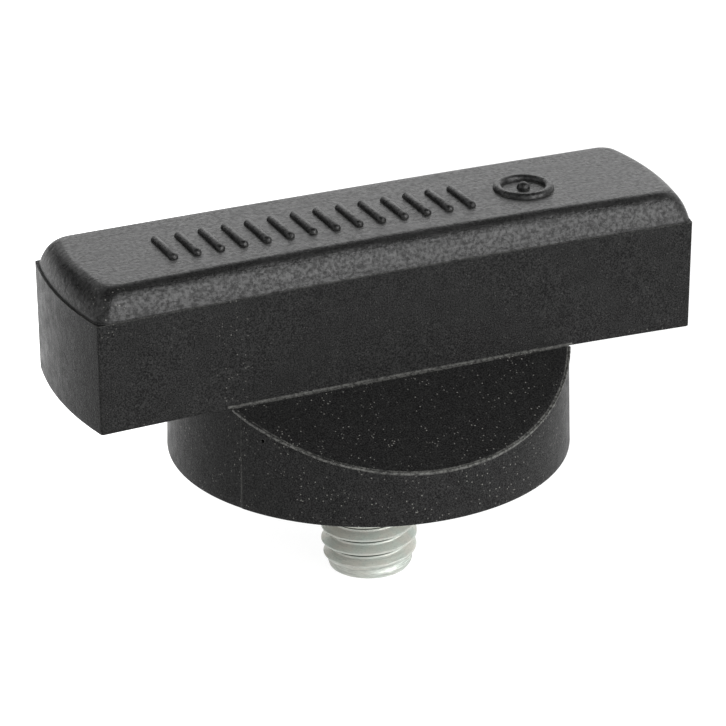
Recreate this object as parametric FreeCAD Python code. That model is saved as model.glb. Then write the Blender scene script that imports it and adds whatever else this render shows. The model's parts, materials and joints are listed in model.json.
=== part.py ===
import FreeCAD, Part
import math
import os

# T-handle screw: a one-piece moulded plastic handle with a steel hex-head stud set in it.
# Millimetres. The origin is the centre of the hub's flat underside, where the screw seats.
# +Z runs up the stud's axis into the handle, X runs along the bar.

# Hub
HUB_RADIUS = 16.6            # at the underside
HUB_DRAFT = 0.2              # how much smaller the radius is at the bar's underside
SLOPE_RIM_HEIGHT = 4.26      # height of the front and back slopes where they meet the rim

# Bar
BAR_UNDERSIDE = 8.4
PARTING_HEIGHT = 17.65       # the mould parting line, where the rounded top begins
BAR_HALF_LENGTH = 26.57      # at the middle of the curved ends
BAR_HALF_WIDTH = 7.3         # at the corners
SIDE_HOLLOW = 0.27           # the long sides are this much closer at mid length
END_BULGE = 0.78             # the ends stand out this much at mid width
SIDE_DRAFT = 0.09            # inset of the long sides at the underside
END_DRAFT = 0.04             # inset of the ends at the underside

# Rounded top: a quarter ellipse in section, set back by a hair from the sides
TOP_RISE = 2.39              # from the parting line to the flat
PARTING_LEDGE = 0.08         # width of the ledge on the parting line
SIDE_ROUND = 1.82            # inset of the flat from the ledge, long sides
END_ROUND = 1.67             # the same, ends
START_TURN = math.radians(18)    # how far round the ellipse the curve starts, so it leans in at once
TOP_CORNER_RADIUS = 1.26     # corners in plan, above the parting line only
TOP_SECTIONS = 9             # level outlines that the curved skin passes through

# Raised marks on the flat: a row of grip ribs, and a ring round a dot
RIB_COUNT = 14
RIB_FIRST_X = -17.6
RIB_PITCH = 1.98
RIB_LENGTH = 4.6
RIB_MIDDLE_Y = -0.4
RIB_RADIUS = 0.4
RING_X = 13.7
RING_Y = -0.5
RING_RADIUS = 2.12           # to the middle of the bead
DOT_RADIUS = 0.55

# A shallow recess in the seat keeps the plastic clear of the thread's crest
RELIEF_RADIUS = 4.4
RELIEF_DEPTH = 0.4

# Stud: ISO M8 coarse thread up to the seat, plain shank and hex head inside the handle
THREAD_RADIUS = 4.0
THREAD_PITCH = 1.25
THREAD_ROOT_RADIUS = 3.233   # to the bottom of the rounded root
THREAD_FLANK = math.radians(30)
GROOVE_WIDTH = 7 / 8 * THREAD_PITCH      # at the crest, so the crest is an eighth of the pitch wide
ROOT_ROUND = 0.144 * THREAD_PITCH        # radius of the root's arc
STUD_LENGTH = 11.3           # below the seat
TIP_RADIUS = 3.4
TIP_CHAMFER = 1.05           # length of the tapered point
GROOVE_START = -12.753       # middle of the groove at +X, below the point
GROOVE_TURNS = 11
CREST_ARCS = 16              # the crest's cylinder is split into this many faces a turn
SHANK_RADIUS = 3.6
HEAD_UNDERSIDE = 4.7
HEAD_HEIGHT = 5.3
HEAD_ACROSS_FLATS = 13.0
HEAD_SIDES = 6

OVERLAP = 0.5                # how far joined or cutting shapes run into each other
RUN_OUT = 0.05               # how far the groove's flanks go on past the crest
TINY = 0.001                 # closer than this counts as equal

TOP_HEIGHT = PARTING_HEIGHT + TOP_RISE


def vector(x, y, z):
    return FreeCAD.Vector(x, y, z)


def flat_face(corners):
    return Part.Face(Part.makePolygon(corners + corners[:1]))


def bar_outline(side_inset, end_inset, z):
    """The bar's plan: curved ends, slightly hollow long sides and sharp corners."""
    half_width = BAR_HALF_WIDTH - side_inset
    end_x = BAR_HALF_LENGTH - end_inset
    corner_x = end_x - END_BULGE
    signs = ((1, -1), (1, 1), (-1, 1), (-1, -1))
    corners = [vector(sx * corner_x, sy * half_width, z) for sx, sy in signs]
    middles = [
        vector(end_x, 0, z),
        vector(0, half_width - SIDE_HOLLOW, z),
        vector(-end_x, 0, z),
        vector(0, SIDE_HOLLOW - half_width, z),
    ]
    following = corners[1:] + corners[:1]
    return Part.Wire([Part.Arc(a, m, b).toShape() for a, m, b in zip(corners, middles, following)])


def bar_body():
    """The straight-sided part of the bar, from its underside to the parting line."""
    underside = bar_outline(SIDE_DRAFT, END_DRAFT, BAR_UNDERSIDE)
    parting = bar_outline(0, 0, PARTING_HEIGHT)
    return Part.makeLoft([underside, parting], True, True)


def top_section(turn):
    """One level outline of the rounded top, turn radians round the ellipse."""
    inset = 1 - math.cos(turn) / math.cos(START_TURN)
    rise = (math.sin(turn) - math.sin(START_TURN)) / (1 - math.sin(START_TURN))
    outline = bar_outline(PARTING_LEDGE + SIDE_ROUND * inset, PARTING_LEDGE + END_ROUND * inset, 0)
    slab = Part.Face(outline).extrude(vector(0, 0, 2 * OVERLAP))
    uprights = [e for e in slab.Edges if abs(e.BoundBox.ZLength - e.Length) < TINY]
    rounded = slab.makeFillet(TOP_CORNER_RADIUS, uprights)
    section = rounded.slice(vector(0, 0, 1), OVERLAP)[0]
    section.translate(vector(0, 0, PARTING_HEIGHT + TOP_RISE * rise - OVERLAP))
    return section


def rounded_top():
    """The cap above the parting line, rounded all round, with rounded corners in plan."""
    step = (math.pi / 2 - START_TURN) / (TOP_SECTIONS - 1)
    sections = [top_section(START_TURN + step * i) for i in range(TOP_SECTIONS)]
    return Part.makeLoft(sections, True, False)


def hub():
    """The round boss under the bar, sloped down to the rim in front of the bar and behind it."""
    boss = Part.makeCone(HUB_RADIUS, HUB_RADIUS - HUB_DRAFT, BAR_UNDERSIDE)
    top_y = BAR_HALF_WIDTH - SIDE_HOLLOW - SIDE_DRAFT
    fall = (BAR_UNDERSIDE - SLOPE_RIM_HEIGHT) / (HUB_RADIUS - top_y)
    reach = 2 * HUB_RADIUS
    for side in (-1, 1):
        corners = [
            vector(-reach, side * top_y, BAR_UNDERSIDE),
            vector(-reach, side * reach, BAR_UNDERSIDE - fall * (reach - top_y)),
            vector(-reach, side * reach, BAR_UNDERSIDE + OVERLAP),
            vector(-reach, side * top_y, BAR_UNDERSIDE + OVERLAP),
        ]
        boss = boss.cut(flat_face(corners).extrude(vector(2 * reach, 0, 0)))
    return boss


def grip_rib(x):
    """A half-round bead with round ends, lying across the bar."""
    straight = RIB_LENGTH - 2 * RIB_RADIUS
    low = vector(x, RIB_MIDDLE_Y - straight / 2, TOP_HEIGHT)
    high = vector(x, RIB_MIDDLE_Y + straight / 2, TOP_HEIGHT)
    bead = Part.makeCylinder(RIB_RADIUS, straight, low, vector(0, 1, 0))
    return bead.fuse([Part.makeSphere(RIB_RADIUS, low), Part.makeSphere(RIB_RADIUS, high)])


def raised_marks():
    """The grip ribs, the ring and its dot."""
    ribs = [grip_rib(RIB_FIRST_X + RIB_PITCH * i) for i in range(RIB_COUNT)]
    middle = vector(RING_X, RING_Y, TOP_HEIGHT)
    ring = Part.makeTorus(RING_RADIUS, RIB_RADIUS, middle)
    dot = Part.makeSphere(DOT_RADIUS, middle)
    return ribs + [ring, dot]


def anchor():
    """The part of the stud that the handle grips: a plain shank and a hex head, flats to the long sides."""
    shank = Part.makeCylinder(SHANK_RADIUS, HEAD_UNDERSIDE)
    corner_radius = HEAD_ACROSS_FLATS / 2 / math.cos(math.pi / HEAD_SIDES)
    corners = []
    for i in range(HEAD_SIDES):
        angle = 2 * math.pi * i / HEAD_SIDES
        x, y = corner_radius * math.cos(angle), corner_radius * math.sin(angle)
        corners.append(vector(x, y, HEAD_UNDERSIDE))
    head = flat_face(corners).extrude(vector(0, 0, HEAD_HEIGHT))
    return shank.fuse(head).removeSplitter()


def stud_blank():
    """The bar that the thread is cut in, tapered to a point. Its outline is a ring of equal arcs."""
    half_step = math.pi / CREST_ARCS
    points = []
    for i in range(2 * CREST_ARCS + 1):
        angle = i * half_step
        points.append(vector(THREAD_RADIUS * math.cos(angle), THREAD_RADIUS * math.sin(angle), -STUD_LENGTH))
    arcs = [Part.Arc(*points[i:i + 3]).toShape() for i in range(0, 2 * CREST_ARCS, 2)]
    rod = Part.Face(Part.Wire(arcs)).extrude(vector(0, 0, STUD_LENGTH))
    length = STUD_LENGTH + OVERLAP
    wide_radius = TIP_RADIUS + (THREAD_RADIUS - TIP_RADIUS) * length / TIP_CHAMFER
    envelope = Part.makeCone(TIP_RADIUS, wide_radius, length, vector(0, 0, -STUD_LENGTH))
    return rod.common(envelope).Solids[0]


def thread_groove():
    """The helical 60-degree groove with a rounded root, as one swept solid."""
    slope = math.tan(THREAD_FLANK)
    tangent_r = THREAD_ROOT_RADIUS + ROOT_ROUND * (1 - math.sin(THREAD_FLANK))
    tangent_z = ROOT_ROUND * math.cos(THREAD_FLANK)
    outer_r = THREAD_RADIUS + RUN_OUT
    outer_z = GROOVE_WIDTH / 2 + RUN_OUT * slope
    upper = [
        vector(tangent_r, 0, tangent_z),
        vector(outer_r, 0, outer_z),
        vector(outer_r + OVERLAP, 0, outer_z),
    ]
    lower = [vector(p.x, 0, -p.z) for p in reversed(upper)]
    corners = upper + lower
    edges = [Part.makeLine(a, b) for a, b in zip(corners, corners[1:])]
    edges.append(Part.Arc(lower[-1], vector(THREAD_ROOT_RADIUS, 0, 0), upper[0]).toShape())
    cone_angle = 0
    path = Part.makeLongHelix(THREAD_PITCH, THREAD_PITCH * GROOVE_TURNS, THREAD_RADIUS, cone_angle)
    groove = Part.Wire(path.Edges).makePipeShell([Part.Wire(edges)], True, True)
    groove.translate(vector(0, 0, GROOVE_START))
    return groove


def stud():
    """The steel stud: threaded below the seat, anchored above it."""
    threaded = stud_blank().cut(thread_groove())
    return threaded.fuse(anchor())


def handle():
    """The moulded handle, with the stud's anchor cut out of it and a recess round the stud."""
    solid = bar_body().fuse([rounded_top(), hub()] + raised_marks())
    return solid.cut([anchor(), Part.makeCylinder(RELIEF_RADIUS, RELIEF_DEPTH)])


def main():
    os.makedirs("parts", exist_ok=True)
    for name, shape in (("handle", handle()), ("stud", stud())):
        shape.exportStep(f"parts/{name}.step")
        print(name, "valid:", shape.isValid(), "solids:", len(shape.Solids), "mm3:", round(shape.Volume, 1))


main()
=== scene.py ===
import json
import math

import bmesh
import bpy
import numpy as np
from mathutils import Matrix, Vector


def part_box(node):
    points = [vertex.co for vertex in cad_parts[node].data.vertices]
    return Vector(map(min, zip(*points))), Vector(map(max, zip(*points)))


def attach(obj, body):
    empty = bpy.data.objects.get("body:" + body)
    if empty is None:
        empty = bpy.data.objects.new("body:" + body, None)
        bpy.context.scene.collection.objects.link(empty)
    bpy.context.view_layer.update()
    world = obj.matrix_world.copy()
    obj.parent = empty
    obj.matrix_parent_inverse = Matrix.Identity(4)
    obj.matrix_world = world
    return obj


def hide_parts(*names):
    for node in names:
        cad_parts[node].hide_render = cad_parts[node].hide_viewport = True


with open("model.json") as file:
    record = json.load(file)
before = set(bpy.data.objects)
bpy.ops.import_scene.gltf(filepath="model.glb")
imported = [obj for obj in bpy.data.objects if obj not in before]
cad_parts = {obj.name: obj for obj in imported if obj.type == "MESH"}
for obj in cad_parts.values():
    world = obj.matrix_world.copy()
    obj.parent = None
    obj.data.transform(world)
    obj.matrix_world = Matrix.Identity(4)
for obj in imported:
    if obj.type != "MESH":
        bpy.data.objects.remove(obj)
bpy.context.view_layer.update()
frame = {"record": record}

# A black moulded T-handle screw with a zinc-plated threaded stud.
# Lengths are in millimetres in the CAD frame until a mesh is written, where MM turns them into metres.
MM = 0.001
HANDLE_LOW, HANDLE_HIGH = (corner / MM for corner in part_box("handle"))
STUD_LOW, STUD_HIGH = (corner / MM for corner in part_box("stud"))
THREAD_MOUNT = next(m for m in frame["record"]["mounts"] if m["name"] == "stud")

# Bar
BAR_HALF_LENGTH = HANDLE_HIGH.x
BAR_HALF_WIDTH = 7.3
SIDE_HOLLOW = 0.27           # the long sides are closer together at mid length
END_BULGE = 0.78             # the ends stand out at mid width
SIDE_DRAFT = 0.09
END_DRAFT = 0.04
BAR_UNDERSIDE = 8.4
PARTING_HEIGHT = 17.65
TOP_HEIGHT = 20.04
PARTING_LEDGE = 0.08
SIDE_ROUND = 1.82
END_ROUND = 1.67
START_TURN = math.radians(25)
CORNER_RADIUS = 0.22         # of the bar's upright corners
TOP_CORNER_RADIUS = 1.26     # of the corners above the parting line
EDGE_RADIUS = 0.1            # of the bar's lower edges
TOP_SHIFT = 0.08             # the upper mould half sits this far along X
BOW_MIDDLE = 0.11            # moulding shrinkage bows the bar: up at mid length
BOW_END = 0.256              # and down by this much more at the ends

# Hub
HUB_RADIUS = -HANDLE_LOW.y
HUB_DRAFT = 0.2
SLOPE_RIM_HEIGHT = 4.26
SLOPE_TOP_HEIGHT = 8.57
SLOPE_TOP_Y = BAR_HALF_WIDTH - SIDE_HOLLOW
SLOPE_FALL = (SLOPE_TOP_HEIGHT - SLOPE_RIM_HEIGHT) / (HUB_RADIUS - SLOPE_TOP_Y)
HUB_BURIED_HEIGHT = 9.2      # the hub's top runs on inside the bar up to here
HUB_EDGE_RADIUS = 0.2
RIM_EDGE_RADIUS = 0.12
SEAM_ANGLE = math.radians(208.8)     # an upright mould seam on the hub's wall
SEAM_STEP = 0.05             # how much the wall is set back on the seam's far side
SEAM_FADE = math.radians(14)
SEAM_RADIUS = 0.06           # of the fine ridge on the seam
SEAM_SINK = 0.03             # how far the ridge's middle is inside the wall
FLASH_RADIUS = 0.1           # thin mould flash along the rim and along the foot of the bar
FLASH_SINK = 0.06            # how far the rim flash's middle is inside the wall
FLASH_DROP = 0.02            # and below the slope
FLASH_END_TURN = 0.02        # the rim flash stops this far short of the bar, in radians
BEAD_END_GAP = 0.4           # the foot's flash and the seam's ridge stop this far short of their ends
PIT_START, PIT_END = (-13.57, -9.87, 6.43), (-12.37, -9.00, 6.53)
PIT_RADIUS = 0.28
SCRATCH_START, SCRATCH_END = (-1.3, -11.75, 6.5), (-0.3, -11.85, 6.44)
SCRATCH_RADIUS = 0.07

# Raised marks
RIB_COUNT = 14
RIB_FIRST_X = -17.6
RIB_PITCH = 1.98
RIB_LENGTH = 4.6
RIB_MIDDLE_Y = -0.4
BEAD_RADIUS = 0.4
RING_X = 13.7
RING_Y = -0.5
RING_RADIUS = 2.12
DOT_RADIUS = 0.55

# Stud
THREAD_RADIUS = THREAD_MOUNT["dims"]["r_mm"]
THREAD_PITCH = 1.25
THREAD_ROOT_RADIUS = 3.233
THREAD_FLANK = math.radians(30)
ROOT_ROUND = 0.144 * THREAD_PITCH      # radius of the root's arc
HALF_GROOVE = THREAD_PITCH * 7 / 16    # half the groove's width at the crest
GROOVE_MIDDLE = -12.753      # height of a groove's middle at +X
STUD_LENGTH = -STUD_LOW.z
TIP_RADIUS = 3.4
TIP_TAPER = 2.2              # the worn point rounds in over this length
TIP_DISH = 0.2               # depth of the hollow in the tip's end
WORN_THREAD_START = 0.1      # the thread deepens from here, above the tip's end
WORN_THREAD_LENGTH = 1.3     # to its full depth, over this length
WORN_THREAD_SHARE = 0.12     # what is left of its depth at the end
RELIEF_RADIUS = 4.4          # recess in the seat round the stud
RELIEF_DEPTH = 0.4
SHANK_RADIUS = 3.6
HEAD_UNDERSIDE = 4.7
HEAD_TOP = STUD_HIGH.z
HEAD_ACROSS_FLATS = 13.0
HEAD_SIDES = 6


# ---------------------------------------------------------------- mesh tools

WELD = 0.004                 # points closer than this, in millimetres, are joined


def ring_faces(rows, count):
    """Quads between successive rings of count points each."""
    faces = []
    for r in range(rows - 1):
        for i in range(count):
            j = (i + 1) % count
            a, b = r * count, (r + 1) * count
            faces.append((a + i, a + j, b + j, b + i))
    return faces


def mesh_object(name, points, faces):
    """A welded mesh object in metres from points in millimetres."""
    mesh = bpy.data.meshes.new(name)
    mesh.from_pydata([tuple(p) for p in np.asarray(points) * MM], [], faces)
    work = bmesh.new()
    work.from_mesh(mesh)
    bmesh.ops.remove_doubles(work, verts=work.verts, dist=WELD * MM)
    bmesh.ops.dissolve_degenerate(work, edges=work.edges, dist=WELD * MM)
    bmesh.ops.recalc_face_normals(work, faces=work.faces)
    work.to_mesh(mesh)
    work.free()
    obj = bpy.data.objects.new(name, mesh)
    bpy.context.scene.collection.objects.link(obj)
    return obj


def loft_object(name, rings):
    """A closed mesh through rings of equal length; the first and last are points or lines."""
    return mesh_object(name, np.concatenate(rings), ring_faces(len(rings), len(rings[0])))


def join_shapes(name, shapes):
    """Several (points, faces) as one object of separate closed shells."""
    points, faces, start = [], [], 0
    for shape_points, shape_faces in shapes:
        points.append(shape_points)
        faces += [tuple(start + i for i in face) for face in shape_faces]
        start += len(shape_points)
    return mesh_object(name, np.concatenate(points), faces)


def boolean(obj, tool, operation):
    """Applies tool to obj and removes it."""
    modifier = obj.modifiers.new("cut", "BOOLEAN")
    modifier.operation = operation
    modifier.solver = "EXACT"
    modifier.object = tool
    result = bpy.data.meshes.new_from_object(obj.evaluated_get(bpy.context.evaluated_depsgraph_get()))
    obj.modifiers.clear()
    obj.data = result
    bpy.data.objects.remove(tool)


def curve_through(start, control, end, steps):
    """Points of a quadratic curve, as rounded edges use."""
    t = np.linspace(0, 1, steps)[:, None]
    start, control, end = (np.asarray(p, float) for p in (start, control, end))
    return (1 - t) ** 2 * start + 2 * t * (1 - t) * control + t ** 2 * end


def bead(path, radii, around=10):
    """A closed tube of changing radius along a path of points, as (points, faces)."""
    path = np.asarray(path, float)
    along = np.gradient(path, axis=0)
    along /= np.linalg.norm(along, axis=1)[:, None]
    side = np.cross(along, (0.1, 0.05, 1))
    side /= np.linalg.norm(side, axis=1)[:, None]
    up = np.cross(side, along)
    angles = np.linspace(0, 2 * math.pi, around, endpoint=False)
    rings = [path[:1].repeat(around, 0)]
    for middle, s, u, radius in zip(path, side, up, radii):
        rings.append(middle + radius * (np.outer(np.cos(angles), s) + np.outer(np.sin(angles), u)))
    rings.append(path[-1:].repeat(around, 0))
    return np.concatenate(rings), ring_faces(len(rings), around)


def capsule(start, end, radius, around=20, cap_steps=6):
    """A bead with round ends, as (points, faces). It is round where it lies across X, else flattened."""
    start, end = np.asarray(start, float), np.asarray(end, float)
    along = (end - start) / np.linalg.norm(end - start)
    side = np.array((1.0, 0.0, 0.0))
    up = np.cross(along, side)
    angles = np.linspace(0, 2 * math.pi, around, endpoint=False)
    circle = np.outer(np.cos(angles), side) + np.outer(np.sin(angles), up)
    rings = []
    for turn in np.linspace(-math.pi / 2, math.pi / 2, 2 * cap_steps):
        middle = start if turn < 0 else end
        rings.append(middle + along * radius * math.sin(turn) + circle * radius * math.cos(turn))
    return np.concatenate(rings), ring_faces(len(rings), around)


def torus(middle, ring_radius, radius, steps=72, around=20):
    """A closed level ring, as (points, faces)."""
    middle = np.asarray(middle, float)
    points = []
    for turn in np.linspace(0, 2 * math.pi, steps, endpoint=False):
        out = np.array((math.cos(turn), math.sin(turn), 0))
        for angle in np.linspace(0, 2 * math.pi, around, endpoint=False):
            offset = out * (ring_radius + radius * math.cos(angle))
            points.append(middle + offset + np.array((0, 0, radius * math.sin(angle))))
    faces = []
    for r in range(steps):
        for i in range(around):
            j = (i + 1) % around
            a, b = r * around, (r + 1) % steps * around
            faces.append((a + i, a + j, b + j, b + i))
    return np.array(points), faces


# ---------------------------------------------------------------- the handle's bar

END_STEPS = 26
CORNER_STEPS = 12
SIDE_STEPS = 110


def side_y(x, half_length, half_width):
    """Y of the bar's hollow long side at x."""
    corner_x = half_length - END_BULGE
    return half_width - SIDE_HOLLOW * (1 - (x / corner_x) ** 2)


def end_x(y, half_length, half_width):
    """X of the bar's curved end at y."""
    return half_length - END_BULGE * (y / half_width) ** 2


def corner_of(half_length, half_width, radius):
    """Centre of a corner's arc, and the angles where it leaves the end and meets the side."""
    corner_x = half_length - END_BULGE
    x, y = corner_x - radius, half_width - radius
    for _ in range(12):
        slope = 2 * SIDE_HOLLOW * x / corner_x ** 2
        side_angle = math.atan2(1, -slope)
        foot_x = x + radius * math.cos(side_angle)
        y = side_y(foot_x, half_length, half_width) - radius * math.sin(side_angle)
        end_angle = math.atan2(2 * END_BULGE * y / half_width ** 2, 1)
        foot_y = y + radius * math.sin(end_angle)
        x = end_x(foot_y, half_length, half_width) - radius * math.cos(end_angle)
    return x, y, end_angle, side_angle


def bar_ring(z, side_inset, end_inset, corner_radius, shift=0.0):
    """The bar's outline at one level, as a ring of points."""
    half_length = BAR_HALF_LENGTH - end_inset
    half_width = BAR_HALF_WIDTH - side_inset
    x, y, end_angle, side_angle = corner_of(half_length, half_width, corner_radius)
    foot_y = y + corner_radius * math.sin(end_angle)
    foot_x = x + corner_radius * math.cos(side_angle)
    end_ys = np.linspace(0, foot_y, END_STEPS, endpoint=False)
    angles = np.linspace(end_angle, side_angle, CORNER_STEPS, endpoint=False)
    side_xs = np.linspace(foot_x, 0, SIDE_STEPS)
    xs = np.concatenate([
        end_x(end_ys, half_length, half_width),
        x + corner_radius * np.cos(angles),
        side_xs,
    ])
    ys = np.concatenate([
        end_ys,
        y + corner_radius * np.sin(angles),
        side_y(side_xs, half_length, half_width),
    ])
    quarter = np.stack([xs, ys], 1)
    half = np.concatenate([quarter, (quarter * (-1, 1))[::-1][1:]])
    ring = np.concatenate([half, (half * (1, -1))[::-1][1:-1]])
    return np.column_stack([ring[:, 0] + shift, ring[:, 1], np.full(len(ring), z)])


def shrink_to_spine(ring, steps):
    """Rings that shrink a level outline on to a line along its middle."""
    low, high = ring[:, 0].min(), ring[:, 0].max()
    half_width = ring[:, 1].max()
    spine_x = np.clip(ring[:, 0], low + half_width, high - half_width)
    spine = np.column_stack([spine_x, np.zeros(len(ring)), ring[:, 2]])
    return [ring + (spine - ring) * share for share in np.linspace(0, 1, steps + 1)[1:]]


def bow(x):
    """How far the bar's bow lifts it at x."""
    return BOW_MIDDLE - BOW_END * (x / BAR_HALF_LENGTH) ** 2


def bar_object():
    """The bar and its rounded cap."""
    rings = []
    for inset, z in curve_through((EDGE_RADIUS, 0), (0, 0), (0, EDGE_RADIUS), 4):
        rings.append(bar_ring(BAR_UNDERSIDE + z, SIDE_DRAFT + inset, END_DRAFT + inset, CORNER_RADIUS))
    for share in np.linspace(0, 1, 20)[1:]:
        z = BAR_UNDERSIDE + EDGE_RADIUS + (PARTING_HEIGHT - BAR_UNDERSIDE - EDGE_RADIUS) * share
        rings.append(bar_ring(z, SIDE_DRAFT * (1 - share), END_DRAFT * (1 - share), CORNER_RADIUS))
    top = []
    for turn in np.linspace(START_TURN, math.pi / 2, 20):
        inset = 1 - math.cos(turn) / math.cos(START_TURN)
        rise = (math.sin(turn) - math.sin(START_TURN)) / (1 - math.sin(START_TURN))
        z = PARTING_HEIGHT + (TOP_HEIGHT - PARTING_HEIGHT) * rise
        sides = PARTING_LEDGE + SIDE_ROUND * inset
        ends = PARTING_LEDGE + END_ROUND * inset
        top.append(bar_ring(z, sides, ends, TOP_CORNER_RADIUS, TOP_SHIFT))
    rings = shrink_to_spine(rings[0], 6)[::-1] + rings + top + shrink_to_spine(top[-1], 14)
    for ring in rings:
        ring[:, 2] += bow(ring[:, 0])
    return loft_object("handle_body", rings)


# ---------------------------------------------------------------- the handle's hub

HUB_STEPS = 420


def hub_top(x, y):
    """Height of the hub's top: a slope each side of the bar, level where the bar hides it."""
    slope = SLOPE_TOP_HEIGHT - SLOPE_FALL * (np.abs(y) - SLOPE_TOP_Y)
    return np.minimum(slope, HUB_BURIED_HEIGHT)


def hub_object():
    """The hub, with its sloped top and a wall that steps back at the seam."""
    angles = np.linspace(0, 2 * math.pi, HUB_STEPS, endpoint=False)
    cosines, sines = np.cos(angles), np.sin(angles)

    past_seam = (SEAM_ANGLE - angles) % (2 * math.pi)
    set_back = 1 - SEAM_STEP / HUB_RADIUS * np.exp(-past_seam / SEAM_FADE)

    def ring(radius, z):
        across = radius * set_back
        return np.column_stack([across * cosines, across * sines, np.broadcast_to(z, cosines.shape)])

    rim = hub_top(HUB_RADIUS * cosines, HUB_RADIUS * sines)
    draft = HUB_DRAFT / BAR_UNDERSIDE
    rings = [ring(HUB_RADIUS * share, 0) for share in np.linspace(0, 0.97, 8)]
    edge = curve_through((HUB_EDGE_RADIUS, 0), (0, 0), (0, HUB_EDGE_RADIUS), 5)
    rings += [ring(HUB_RADIUS - inset, z) for inset, z in edge]
    for share in np.linspace(0, 1, 10)[1:]:
        z = HUB_EDGE_RADIUS + (rim - RIM_EDGE_RADIUS - HUB_EDGE_RADIUS) * share
        rings.append(ring(HUB_RADIUS - draft * z, z))
    rim_radius = HUB_RADIUS - draft * rim
    inner = rim_radius - RIM_EDGE_RADIUS
    inner_z = hub_top(inner * cosines, inner * sines)
    for t in np.linspace(0, 1, 6)[1:]:
        radius = (1 - t) ** 2 * rim_radius + 2 * t * (1 - t) * rim_radius + t ** 2 * inner
        z = (1 - t) ** 2 * (rim - RIM_EDGE_RADIUS) + 2 * t * (1 - t) * rim + t ** 2 * inner_z
        rings.append(ring(radius, z))
    for share in np.linspace(1, 0, 24)[1:]:
        radius = inner * share
        rings.append(ring(radius, hub_top(radius * cosines, radius * sines)))
    return loft_object("hub", rings)


# ---------------------------------------------------------------- mould flash and small damage

KNOT_GAP = 12                # points between the knots of the slow part of the unevenness


def uneven(count, seed, low, high):
    """A smooth random run of factors between low and high."""
    random = np.random.default_rng(seed)
    knots = np.arange(0, count + KNOT_GAP, KNOT_GAP)
    wide = np.interp(np.arange(count), knots, random.uniform(0, 1, len(knots)))
    fine = random.uniform(0, 1, count)
    return low + (high - low) * (0.65 * wide + 0.35 * fine)


def flash_beads():
    """Ragged flash along both slopes' rims, along the foot of the bar there, and on the wall's seam."""
    shapes = []
    first = math.asin(SLOPE_TOP_Y / HUB_RADIUS)
    for side in (-1, 1):
        angles = np.linspace(first + FLASH_END_TURN, math.pi - first - FLASH_END_TURN, 260)
        radius = HUB_RADIUS - HUB_DRAFT * SLOPE_RIM_HEIGHT / BAR_UNDERSIDE - FLASH_SINK
        x, y = radius * np.cos(angles), radius * np.sin(angles)
        path = np.column_stack([x, side * y, hub_top(x, y) - FLASH_DROP])
        share = (1 - np.cos(angles)) / 2
        radii = FLASH_RADIUS * uneven(len(path), 5 + side, 0.5, 1.5) * (0.8 + 0.8 * share ** 3)
        shapes.append(bead(path, radii))
        reach = math.sqrt(HUB_RADIUS ** 2 - SLOPE_TOP_Y ** 2) - BEAD_END_GAP
        x = np.linspace(-reach, reach, 240)
        y = side_y(x, BAR_HALF_LENGTH, BAR_HALF_WIDTH - SIDE_DRAFT)
        path = np.column_stack([x, side * y, hub_top(x, y)])
        shapes.append(bead(path, FLASH_RADIUS * uneven(len(path), 9 + side, 0.35, 0.9)))
    height = np.linspace(BEAD_END_GAP, SLOPE_TOP_HEIGHT - BEAD_END_GAP, 60)
    out = HUB_RADIUS - HUB_DRAFT * height / BAR_UNDERSIDE - SEAM_SINK
    path = np.column_stack([out * math.cos(SEAM_ANGLE), out * math.sin(SEAM_ANGLE), height])
    shapes.append(bead(path, SEAM_RADIUS * uneven(len(path), 21, 0.7, 1.3)))
    return shapes


def nicks_object():
    """A pit below the rim and a short scratch on the front slope, to be cut away."""
    pit = capsule(PIT_START, PIT_END, PIT_RADIUS)
    scratch = capsule(SCRATCH_START, SCRATCH_END, SCRATCH_RADIUS)
    return join_shapes("nicks", [pit, scratch])


# ---------------------------------------------------------------- the raised marks

def marks_object():
    """The grip ribs, the ring and its dot."""
    shapes = []
    half = RIB_LENGTH / 2 - BEAD_RADIUS
    for i in range(RIB_COUNT):
        x = RIB_FIRST_X + RIB_PITCH * i
        z = TOP_HEIGHT + bow(x)
        shapes.append(capsule((x, RIB_MIDDLE_Y - half, z), (x, RIB_MIDDLE_Y + half, z), BEAD_RADIUS))
    middle = np.array((RING_X, RING_Y, TOP_HEIGHT + bow(RING_X)))
    shapes.append(torus(middle, RING_RADIUS, BEAD_RADIUS))
    nudge = np.array((0, 0.01, 0))
    shapes.append(capsule(middle - nudge, middle + nudge, DOT_RADIUS))
    return join_shapes("marks", shapes)


# ---------------------------------------------------------------- the stud

STUD_STEPS = 180
THREAD_ROWS = 24             # rows of points across one pitch


def hex_ring(z):
    """The hex head's outline, flats to the long sides, with the same count as the stud's rings."""
    angles = np.linspace(0, 2 * math.pi, STUD_STEPS, endpoint=False)
    sector = 2 * math.pi / HEAD_SIDES
    from_flat = (angles % sector) - sector / 2
    radius = HEAD_ACROSS_FLATS / 2 / np.cos(from_flat)
    return np.column_stack([radius * np.cos(angles), radius * np.sin(angles), np.full(STUD_STEPS, z)])


def round_ring(radius, z):
    """A level circle of points."""
    angles = np.linspace(0, 2 * math.pi, STUD_STEPS, endpoint=False)
    return np.column_stack([radius * np.cos(angles), radius * np.sin(angles), np.full(STUD_STEPS, z)])


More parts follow.
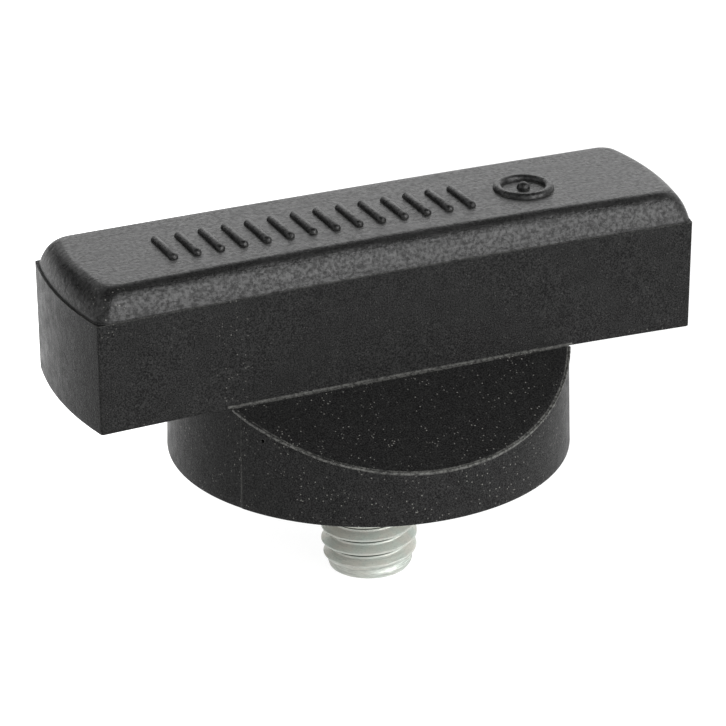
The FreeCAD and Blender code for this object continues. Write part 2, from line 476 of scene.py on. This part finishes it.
def thread_radius(z, angle):
    """Radius of the threaded stud at a height and an angle."""
    phase = (z - GROOVE_MIDDLE) / THREAD_PITCH - angle / (2 * math.pi)
    from_groove = np.abs(phase - np.round(phase)) * THREAD_PITCH
    arc = THREAD_ROOT_RADIUS + ROOT_ROUND - np.sqrt(np.maximum(ROOT_ROUND ** 2 - from_groove ** 2, 0))
    flank = THREAD_RADIUS - (HALF_GROOVE - from_groove) / math.tan(THREAD_FLANK)
    tangent = ROOT_ROUND * math.cos(THREAD_FLANK)
    radius = np.where(from_groove < tangent, arc, flank)
    depth = THREAD_RADIUS - np.minimum(radius, THREAD_RADIUS)
    from_tip = z + STUD_LENGTH
    sharpness = np.clip((from_tip - WORN_THREAD_START) / WORN_THREAD_LENGTH, WORN_THREAD_SHARE, 1)
    to_full = np.clip(1 - from_tip / TIP_TAPER, 0, 1)
    outside = THREAD_RADIUS - (THREAD_RADIUS - TIP_RADIUS) * to_full ** 2
    return outside - depth * sharpness


def outline_at(z):
    """The threaded stud's outline at one height."""
    angles = np.linspace(0, 2 * math.pi, STUD_STEPS, endpoint=False)
    height = np.full(STUD_STEPS, float(z))
    radius = thread_radius(height, angles)
    return np.column_stack([radius * np.cos(angles), radius * np.sin(angles), height])


def stud_object():
    """Threaded end, plain shank and hex head. Rows of the threaded part follow the helix."""
    angles = np.linspace(0, 2 * math.pi, STUD_STEPS + 1)
    first = GROOVE_MIDDLE - 2 * THREAD_PITCH
    row_count = int(math.ceil((0 - first) / THREAD_PITCH) + 1) * THREAD_ROWS
    grid = []
    for row in range(row_count):
        z = first + (row / THREAD_ROWS + angles / (2 * math.pi)) * THREAD_PITCH
        z = np.clip(z, -STUD_LENGTH, 0)
        radius = thread_radius(z, angles)
        grid.append(np.column_stack([radius * np.cos(angles), radius * np.sin(angles), z]))
    width = STUD_STEPS + 1
    points = [np.concatenate(grid)]
    faces = []
    for row in range(row_count - 1):
        for i in range(STUD_STEPS):
            a, b = row * width + i, (row + 1) * width + i
            faces.append((a, a + 1, b + 1, b))
    start = row_count * width
    # the tip closes in from the thread's lower outline; shank and head rise from its upper one
    tip_outline = outline_at(-STUD_LENGTH)
    seat_outline = outline_at(0)
    shares = (1, 0.9, 0.6, 0.3, 0)
    tip = [tip_outline * (share, share, 1) + (0, 0, TIP_DISH * (1 - share)) for share in shares]
    shank = [seat_outline, round_ring(SHANK_RADIUS, 0), round_ring(SHANK_RADIUS, HEAD_UNDERSIDE)]
    head = [hex_ring(HEAD_UNDERSIDE), hex_ring(HEAD_TOP), round_ring(0, HEAD_TOP)]
    for rings in (tip, shank + head):
        points.append(np.concatenate(rings))
        faces += [tuple(start + i for i in face) for face in ring_faces(len(rings), STUD_STEPS)]
        start += len(rings) * STUD_STEPS
    return mesh_object("threaded_stud", np.concatenate(points), faces)


def anchor_object():
    """The room that the recess, the shank and the head take in the handle."""
    rings = [round_ring(0, -1), round_ring(RELIEF_RADIUS, -1), round_ring(RELIEF_RADIUS, RELIEF_DEPTH)]
    rings += [round_ring(SHANK_RADIUS, RELIEF_DEPTH), round_ring(SHANK_RADIUS, HEAD_UNDERSIDE)]
    rings += [hex_ring(HEAD_UNDERSIDE), hex_ring(HEAD_TOP), round_ring(0, HEAD_TOP)]
    return loft_object("anchor_room", rings)


def handle_object():
    """Everything moulded in one piece, with the room for the stud's anchor cut out."""
    handle = bar_object()
    boolean(handle, hub_object(), "UNION")
    boolean(handle, marks_object(), "UNION")
    for points, faces in flash_beads():
        boolean(handle, mesh_object("flash", points, faces), "UNION")
    boolean(handle, nicks_object(), "DIFFERENCE")
    boolean(handle, anchor_object(), "DIFFERENCE")
    return handle


def smooth(obj, angle):
    """Smooth shading, but for edges sharper than angle degrees."""
    obj.data.shade_smooth()
    obj.data.set_sharp_from_angle(angle=math.radians(angle))


# ---------------------------------------------------------------- camera, light, floor

CAMERA_AZIMUTH = math.radians(23.5862)
CAMERA_ELEVATION = math.radians(24.1524)
CAMERA_ROLL = math.radians(0.3455)
CAMERA_DISTANCE = 311.7
CAMERA_RIGHT = 0.412
CAMERA_UP = -6.18
CAMERA_LENS = 187.2
SENSOR_WIDTH = 36.0

FLOOR_HALF_SIZE = 1500
FLOOR_GREY = 0.25
FLOOR_GLOW = 0.86            # light that the floor gives off, so that it stays white under the object
POOL_GLOW = 1.8              # the same in a pool behind the bar's left end
POOL_MIDDLE = (-18, 72, STUD_LOW.z)
POOL_RADIUS = 66
POOL_CORE = 0.25             # share of the radius that has the full glow

SKY_STOPS = ((0, 1.0), (46, 1.0), (57, 0.02), (90, 0.02))      # elevation in degrees, brightness
CARD_DIRECTION = (-0.5, 0.84, 0.12)
CARD_EDGE = (25, 17)         # the card fades between these angles from its middle, in degrees
CARD_BRIGHTNESS = 0.03


def make_camera():
    """A camera that looks at the object from the photograph's side."""
    a, e, r = CAMERA_AZIMUTH, CAMERA_ELEVATION, CAMERA_ROLL
    back = Vector((-math.sin(a) * math.cos(e), -math.cos(a) * math.cos(e), math.sin(e)))
    right = Vector((math.cos(a), -math.sin(a), 0))
    up = back.cross(right)
    place = back * CAMERA_DISTANCE - right * CAMERA_RIGHT - up * CAMERA_UP
    rolled_right = right * math.cos(r) - up * math.sin(r)
    rolled_up = right * math.sin(r) + up * math.cos(r)
    data = bpy.data.cameras.new("camera")
    data.lens = CAMERA_LENS
    data.sensor_width = SENSOR_WIDTH
    data.clip_start = 0.01
    data.clip_end = 10
    camera = bpy.data.objects.new("camera", data)
    turn = Matrix((rolled_right, rolled_up, back)).transposed().to_4x4()
    camera.matrix_world = Matrix.Translation(place * MM) @ turn
    bpy.context.scene.collection.objects.link(camera)
    bpy.context.scene.camera = camera


def make_floor():
    """A white floor at the stud's tip, glowing a little, and clear from below."""
    size = FLOOR_HALF_SIZE
    z = STUD_LOW.z
    points = [(x, y, z) for x, y in ((-size, -size), (size, -size), (size, size), (-size, size))]
    floor = mesh_object("floor", points, [(0, 1, 2, 3)])
    material, nodes, link, shader = new_material("floor_white")
    shader.inputs["Base Color"].default_value = (FLOOR_GREY, FLOOR_GREY, FLOOR_GREY, 1)
    shader.inputs["Roughness"].default_value = 0.9
    shader.inputs["Emission Color"].default_value = (1, 1, 1, 1)
    place = nodes.new("ShaderNodeTexCoord")
    away = nodes.new("ShaderNodeVectorMath")
    away.operation = "DISTANCE"
    link(place.outputs["Object"], away.inputs[0])
    away.inputs[1].default_value = Vector(POOL_MIDDLE) * MM
    pool = nodes.new("ShaderNodeMapRange")
    pool.interpolation_type = "SMOOTHSTEP"
    link(away.outputs["Value"], pool.inputs["Value"])
    pool.inputs["From Min"].default_value = POOL_RADIUS * MM
    pool.inputs["From Max"].default_value = POOL_RADIUS * POOL_CORE * MM
    pool.inputs["To Min"].default_value = FLOOR_GLOW
    pool.inputs["To Max"].default_value = POOL_GLOW
    link(pool.outputs[0], shader.inputs["Emission Strength"])
    clear = nodes.new("ShaderNodeBsdfTransparent")
    facing = nodes.new("ShaderNodeNewGeometry")
    choose = nodes.new("ShaderNodeMixShader")
    link(facing.outputs["Backfacing"], choose.inputs[0])
    link(shader.outputs[0], choose.inputs[1])
    link(clear.outputs[0], choose.inputs[2])
    link(choose.outputs[0], nodes["Material Output"].inputs["Surface"])
    floor.data.materials.append(material)


def make_world():
    """Even white surroundings that turn dark overhead, with a black card behind on the left."""
    world = bpy.data.worlds.new("studio")
    bpy.context.scene.world = world
    world.use_nodes = True
    nodes, link = world.node_tree.nodes, world.node_tree.links.new
    nodes.clear()
    place = nodes.new("ShaderNodeTexCoord")
    split = nodes.new("ShaderNodeSeparateXYZ")
    ramp = nodes.new("ShaderNodeValToRGB")
    background = nodes.new("ShaderNodeBackground")
    output = nodes.new("ShaderNodeOutputWorld")
    link(place.outputs["Generated"], split.inputs[0])
    link(split.outputs["Z"], ramp.inputs["Fac"])
    toward_card = nodes.new("ShaderNodeVectorMath")
    toward_card.operation = "DOT_PRODUCT"
    link(place.outputs["Generated"], toward_card.inputs[0])
    toward_card.inputs[1].default_value = Vector(CARD_DIRECTION).normalized()
    card = nodes.new("ShaderNodeMapRange")
    card.interpolation_type = "SMOOTHSTEP"
    link(toward_card.outputs["Value"], card.inputs["Value"])
    card.inputs["From Min"].default_value = math.cos(math.radians(CARD_EDGE[0]))
    card.inputs["From Max"].default_value = math.cos(math.radians(CARD_EDGE[1]))
    card.inputs["To Min"].default_value = 1.0
    card.inputs["To Max"].default_value = CARD_BRIGHTNESS
    shade = nodes.new("ShaderNodeVectorMath")
    shade.operation = "SCALE"
    link(ramp.outputs["Color"], shade.inputs[0])
    link(card.outputs[0], shade.inputs["Scale"])
    link(shade.outputs[0], background.inputs["Color"])
    link(background.outputs[0], output.inputs["Surface"])
    elements = ramp.color_ramp.elements
    while len(elements) < len(SKY_STOPS):
        elements.new(0.5)
    for element, (elevation, value) in zip(elements, SKY_STOPS):
        element.position = math.sin(math.radians(elevation))
        element.color = (value, value, value, 1)
    background.inputs["Strength"].default_value = 1.0


def softbox(name, azimuth, elevation, distance, width, height, brightness):
    """An area light that faces the origin. Azimuth 0 is in front, 90 on the +X side."""
    a, e = math.radians(azimuth), math.radians(elevation)
    out = Vector((math.sin(a) * math.cos(e), -math.cos(a) * math.cos(e), math.sin(e)))
    data = bpy.data.lights.new(name, "AREA")
    data.shape = "RECTANGLE"
    data.size = width * MM
    data.size_y = height * MM
    data.energy = brightness * math.pi * data.size * data.size_y
    light = bpy.data.objects.new(name, data)
    light.location = out * distance * MM
    light.rotation_mode = "QUATERNION"
    light.rotation_quaternion = (-out).to_track_quat("-Z", "Y")
    bpy.context.scene.collection.objects.link(light)


# ---------------------------------------------------------------- materials

def new_material(name):
    """A material with its nodes, its link function and its shader."""
    material = bpy.data.materials.new(name)
    material.use_nodes = True
    nodes = material.node_tree.nodes
    return material, nodes, material.node_tree.links.new, nodes["Principled BSDF"]


class Maker:
    """Short calls for a material's nodes. Coordinates are in millimetres in the CAD frame."""

    def __init__(self, name):
        self.material, self.nodes, self.link, self.shader = new_material(name)
        place = self.nodes.new("ShaderNodeTexCoord")
        self.point = self.scaled(place.outputs["Object"], (1 / MM, 1 / MM, 1 / MM))

    def scaled(self, vector, scale):
        """A vector with each of its parts multiplied."""
        node = self.nodes.new("ShaderNodeVectorMath")
        node.operation = "MULTIPLY"
        self.link(vector, node.inputs[0])
        node.inputs[1].default_value = scale
        return node.outputs[0]

    def noise(self, scale, detail=3.0, roughness=0.5, stretch=(1, 1, 1)):
        """Noise of about scale lumps a millimetre, closer together along an axis where stretch is high."""
        node = self.nodes.new("ShaderNodeTexNoise")
        self.link(self.scaled(self.point, stretch), node.inputs["Vector"])
        node.inputs["Scale"].default_value = scale
        node.inputs["Detail"].default_value = detail
        node.inputs["Roughness"].default_value = roughness
        return node.outputs["Fac"]

    def math(self, operation, a, b=0.0, c=0.0):
        """One sum. Each of a, b and c is a number or a socket."""
        node = self.nodes.new("ShaderNodeMath")
        node.operation = operation
        for socket, value in zip(node.inputs, (a, b, c)):
            if isinstance(value, (int, float)):
                socket.default_value = value
            else:
                self.link(value, socket)
        return node.outputs[0]

    def ramp(self, value, low, high, to_low=0.0, to_high=1.0):
        """Goes smoothly from to_low to to_high as value goes from low to high."""
        node = self.nodes.new("ShaderNodeMapRange")
        node.interpolation_type = "SMOOTHSTEP"
        self.link(value, node.inputs["Value"])
        for name, number in (("From Min", low), ("From Max", high), ("To Min", to_low), ("To Max", to_high)):
            node.inputs[name].default_value = number
        return node.outputs[0]

    def mix(self, share, a, b):
        """Colour a where share is 0, b where it is 1."""
        node = self.nodes.new("ShaderNodeMix")
        node.data_type = "RGBA"
        self.link(share, node.inputs["Factor"])
        for socket, value in ((node.inputs[6], a), (node.inputs[7], b)):
            if isinstance(value, tuple):
                socket.default_value = (*value, 1)
            else:
                self.link(value, socket)
        return node.outputs[2]

    def speckles(self, scale, size, share):
        """Small round dots: scale per millimetre, size in cells, on that share of the cells."""
        node = self.nodes.new("ShaderNodeTexVoronoi")
        self.link(self.point, node.inputs["Vector"])
        node.inputs["Scale"].default_value = scale
        split = self.nodes.new("ShaderNodeSeparateColor")
        self.link(node.outputs["Color"], split.inputs[0])
        dot = self.ramp(node.outputs["Distance"], size, size * 0.4)
        return self.math("MULTIPLY", dot, self.math("LESS_THAN", split.outputs[0], share))

    def axes(self, vector):
        """The X, Y and Z of a vector."""
        split = self.nodes.new("ShaderNodeSeparateXYZ")
        self.link(vector, split.inputs[0])
        return split.outputs["X"], split.outputs["Y"], split.outputs["Z"]

    def height(self):
        """Height above the seat, in millimetres."""
        return self.axes(self.point)[2]

    def from_axis(self, place=(0, 0, 0)):
        """Distance from an upright line through place, the stud's axis if none is given."""
        return self.distance(self.scaled(self.point, (1, 1, 0)), place)

    def distance(self, point, place):
        """Distance between a point and a fixed place, in millimetres."""
        node = self.nodes.new("ShaderNodeVectorMath")
        node.operation = "DISTANCE"
        self.link(point, node.inputs[0])
        node.inputs[1].default_value = place
        return node.outputs["Value"]

    def edges(self, radius):
        """1 along the edges, 0 away from them."""
        bevel = self.nodes.new("ShaderNodeBevel")
        bevel.samples = 6
        bevel.inputs["Radius"].default_value = radius * MM
        true = self.nodes.new("ShaderNodeNewGeometry")
        dot = self.nodes.new("ShaderNodeVectorMath")
        dot.operation = "DOT_PRODUCT"
        self.link(bevel.outputs[0], dot.inputs[0])
        self.link(true.outputs["Normal"], dot.inputs[1])
        return self.ramp(dot.outputs["Value"], 0.97, 0.85)

    def bump(self, heights):
        """Adds up (height value, size in millimetres) into one normal."""
        normal = None
        for value, size in heights:
            node = self.nodes.new("ShaderNodeBump")
            node.inputs["Strength"].default_value = 1.0
            node.inputs["Distance"].default_value = size * MM
            self.link(value, node.inputs["Height"])
            if normal is not None:
                self.link(normal, node.inputs["Normal"])
            normal = node.outputs[0]
        self.link(normal, self.shader.inputs["Normal"])


# Colours are linear
BLACK_DEEP = (0.005, 0.005, 0.0051)
BLACK_GRAIN = (0.017, 0.017, 0.0167)
SPECK_PALE = (0.17, 0.168, 0.155)
# partly worn plastic, partly a painted highlight along edges and creases
RUBBED_AND_EDGE_HIGHLIGHT_PALE = (0.07, 0.07, 0.066)
# painted highlight on the mould flash's ridges and on the seam line
FLASH_HIGHLIGHT_PALE = (0.12, 0.12, 0.113)
PLASTIC_IOR = 1.45
EDGE_WEAR_AND_HIGHLIGHT_RADIUS = 0.16
SCUFFED_CORNER = (-25.2, -6.2, 18.4)
FOOT_FLASH_Y = (7.26, 7.14)  # the painted highlight strip at the bar's foot fades in between these

ZINC_GREEN = (0.55, 0.61, 0.555)
ZINC_YELLOW = (0.62, 0.61, 0.55)
ZINC_DULL = (0.46, 0.48, 0.45)
# painted shade for the stud's sideways-facing faces
ZINC_UPRIGHT_SHADE = (0.33, 0.35, 0.32)
ZINC_STREAK = (0.2, 0.2, 0.19)
# painted shade for the downward-facing lower flanks in the thread's roots
ROOT_SHADE_DARK = (0.01, 0.013, 0.01)


def plastic():
    """Black glass-filled nylon: smooth above the parting line, grainy below it, pale on rubbed edges and
    creases, partly wear and partly a painted edge highlight.
    """
    m = Maker("black_moulded_plastic")
    above = m.ramp(m.height(), PARTING_HEIGHT - 0.1, PARTING_HEIGHT + 0.1)
    below = m.math("SUBTRACT", 1.0, above)
    on_hub = m.ramp(m.height(), BAR_UNDERSIDE + 0.5, BAR_UNDERSIDE + 0.1)
    grain = m.noise(9.0, 2.0, 0.6)
    sand = m.noise(3.2, 3.0, 0.65)
    mottle = m.noise(0.9, 4.0, 0.6)
    flow = m.noise(1.6, 4.0, 0.6, stretch=(0.16, 1.6, 1.6))
    upright = m.noise(1.6, 3.0, 0.6, stretch=(2.0, 2.0, 0.25))
    patches = m.ramp(m.noise(0.35, 3.0), 0.38, 0.6)
    ragged = m.ramp(m.noise(2.4, 3.0), 0.35, 0.6)
    scuffed = m.ramp(m.distance(m.point, SCUFFED_CORNER), 3.2, 0.8)
    seam = (HUB_RADIUS * math.cos(SEAM_ANGLE), HUB_RADIUS * math.sin(SEAM_ANGLE), 0)
    near_seam = m.ramp(m.from_axis(seam), 2.8, 0.3, 0.0, 0.8)
    on_seam = m.ramp(m.from_axis(seam), 0.16, 0.08)
    dots = m.speckles(4.2, 0.34, 0.14)
    dust = m.speckles(2.6, 0.2, 0.3)
    spread = m.math("MULTIPLY_ADD", m.math("MULTIPLY", on_hub, patches), 0.85, 0.15)
    spread = m.math("MAXIMUM", spread, near_seam)
    spread = m.math("MULTIPLY", spread, m.math("MULTIPLY_ADD", below, 0.9, 0.1))
    pale = m.math("MULTIPLY", m.math("MAXIMUM", dots, dust), m.math("MAXIMUM", spread, scuffed))
    # partly edge wear, partly a painted highlight: edges and creases are lightened where the bevel mask
    # finds them
    worn_and_edge_highlight = m.math("MULTIPLY", m.edges(EDGE_WEAR_AND_HIGHLIGHT_RADIUS), m.math("MAXIMUM", ragged, scuffed))
    # painted highlight: the flash strips and the seam line are lightened
    flash = m.math("MAXIMUM", flash_highlight_strip(m), m.math("MULTIPLY", on_seam, 0.15))
    body = m.mix(m.ramp(grain, 0.35, 0.68), BLACK_DEEP, BLACK_GRAIN)
    body = m.mix(m.math("MULTIPLY", pale, 0.75), body, SPECK_PALE)
    body = m.mix(m.math("MULTIPLY", worn_and_edge_highlight, 0.6), body, RUBBED_AND_EDGE_HIGHLIGHT_PALE)
    body = m.mix(m.math("MULTIPLY", flash, 0.8), body, FLASH_HIGHLIGHT_PALE)
    m.link(body, m.shader.inputs["Base Color"])
    smooth_part = m.ramp(flow, 0.3, 0.7, 0.24, 0.36)
    rough_part = m.ramp(mottle, 0.3, 0.7, 0.36, 0.5)
    roughness = m.math("ADD", m.math("MULTIPLY", above, smooth_part), m.math("MULTIPLY", below, rough_part))
    m.link(m.math("MULTIPLY_ADD", worn_and_edge_highlight, 0.15, roughness), m.shader.inputs["Roughness"])
    pores = m.math("MULTIPLY", m.ramp(grain, 0.3, 0.7, 0.06, 0.18), m.ramp(mottle, 0.3, 0.7, 0.8, 1.2))
    skin = m.math("MULTIPLY", m.ramp(sand, 0.35, 0.65, 0.16, 0.46), m.ramp(flow, 0.3, 0.7, 0.8, 1.2))
    gloss = m.math("ADD", m.math("MULTIPLY", above, skin), m.math("MULTIPLY", below, pores))
    m.link(gloss, m.shader.inputs["Specular IOR Level"])
    m.shader.inputs["IOR"].default_value = PLASTIC_IOR
    m.bump((
        (mottle, 0.03),
        (flow, 0.02),
        (upright, 0.012),
        (sand, 0.012),
        (grain, 0.014),
        (m.math("MULTIPLY", sand, above), 0.014),
        (m.math("MULTIPLY", dots, below), 0.02),
    ))
    return m.material


def flash_highlight_strip(m):
    """1 on the flash along the slopes' rims and along the foot of the bar, where a highlight is painted."""
    _, across, up = m.axes(m.point)
    depth = m.math("ABSOLUTE", across)
    slope = m.math("MULTIPLY_ADD", depth, -SLOPE_FALL, SLOPE_TOP_HEIGHT + SLOPE_FALL * SLOPE_TOP_Y)
    off_slope = m.math("ABSOLUTE", m.math("SUBTRACT", up, slope))
    out = m.from_axis()
    rim = m.ramp(out, HUB_RADIUS - 0.42, HUB_RADIUS - 0.3)
    foot = m.math("MULTIPLY", m.ramp(depth, *FOOT_FLASH_Y), m.ramp(out, HUB_RADIUS, HUB_RADIUS - 0.3))
    on_hub = m.ramp(out, HUB_RADIUS + 0.12, HUB_RADIUS + 0.02)
    strip = m.math("MAXIMUM", rim, m.math("MULTIPLY", foot, 0.6))
    strip = m.math("MULTIPLY", strip, m.ramp(off_slope, 0.16, 0.06))
    strip = m.math("MULTIPLY", strip, on_hub)
    return m.math("MULTIPLY", strip, m.ramp(m.noise(3.4, 4.0, 0.7), 0.4, 0.58, 0.2, 1.0))


def zinc():
    """Bright zinc plate on a rolled thread: faint yellow and green tints, and painted shade on the downward
    faces in the roots.
    """
    m = Maker("bright_zinc_plate")
    tint = m.noise(0.5, 3.0, 0.6)
    fine = m.noise(6.0, 3.0, 0.6)
    rolled = m.noise(3.0, 3.0, 0.6, stretch=(0.4, 0.4, 6.0))
    facing_up = m.axes(m.nodes.new("ShaderNodeNewGeometry").outputs["Normal"])[2]
    tilt = m.math("ABSOLUTE", facing_up)
    at_tip = m.ramp(m.height(), 1.7 - STUD_LENGTH, 0.7 - STUD_LENGTH)
    in_root = m.ramp(m.from_axis(), THREAD_ROOT_RADIUS + 0.62, THREAD_ROOT_RADIUS + 0.35)
    in_root = m.math("MULTIPLY", in_root, m.math("SUBTRACT", 1.0, at_tip))
    # painted shade: downward-facing faces in the roots are darkened and lose their metal shine
    root_shade = m.math("MULTIPLY", m.ramp(facing_up, 0.0, -0.4), in_root)
    # painted shade: faces that face sideways rather than up or down are darkened
    upright = m.ramp(tilt, 0.6, 0.3, 0.0, 0.65)
    streaks = m.math("MULTIPLY", m.ramp(rolled, 0.44, 0.58), m.math("MULTIPLY_ADD", at_tip, 0.45, 0.1))
    streaks = m.math("MULTIPLY", streaks, m.ramp(tilt, 0.95, 0.8))
    body = m.mix(m.ramp(tint, 0.35, 0.65), ZINC_GREEN, ZINC_YELLOW)
    body = m.mix(m.ramp(fine, 0.5, 0.8), body, ZINC_DULL)
    body = m.mix(upright, body, ZINC_UPRIGHT_SHADE)
    body = m.mix(streaks, body, ZINC_STREAK)
    body = m.mix(m.math("MULTIPLY", root_shade, 0.95), body, ROOT_SHADE_DARK)
    m.link(body, m.shader.inputs["Base Color"])
    m.link(m.ramp(root_shade, 0, 1, 0.4, 0.0), m.shader.inputs["Metallic"])
    m.link(m.ramp(root_shade, 0, 1, 0.5, 0.0), m.shader.inputs["Specular IOR Level"])
    m.link(m.ramp(fine, 0.3, 0.7, 0.34, 0.5), m.shader.inputs["Roughness"])
    m.bump(((rolled, 0.02), (fine, 0.008)))
    return m.material


# ---------------------------------------------------------------- putting it together

def place_piece(obj, node, material, angle):
    """Hands a finished piece to the frame in place of its CAD node."""
    smooth(obj, angle)
    obj.data.materials.clear()
    obj.data.materials.append(material)
    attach(obj, "root")
    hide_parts(node)


make_camera()
place_piece(handle_object(), "handle", plastic(), angle=28)
place_piece(stud_object(), "stud", zinc(), angle=35)
make_floor()
make_world()
softbox("front_softbox", azimuth=28, elevation=25, distance=900, width=1000, height=850, brightness=4.4)
softbox("back_softbox", azimuth=152, elevation=26, distance=1000, width=700, height=620, brightness=0.9)
bpy.context.scene.view_settings.view_transform = "Standard"
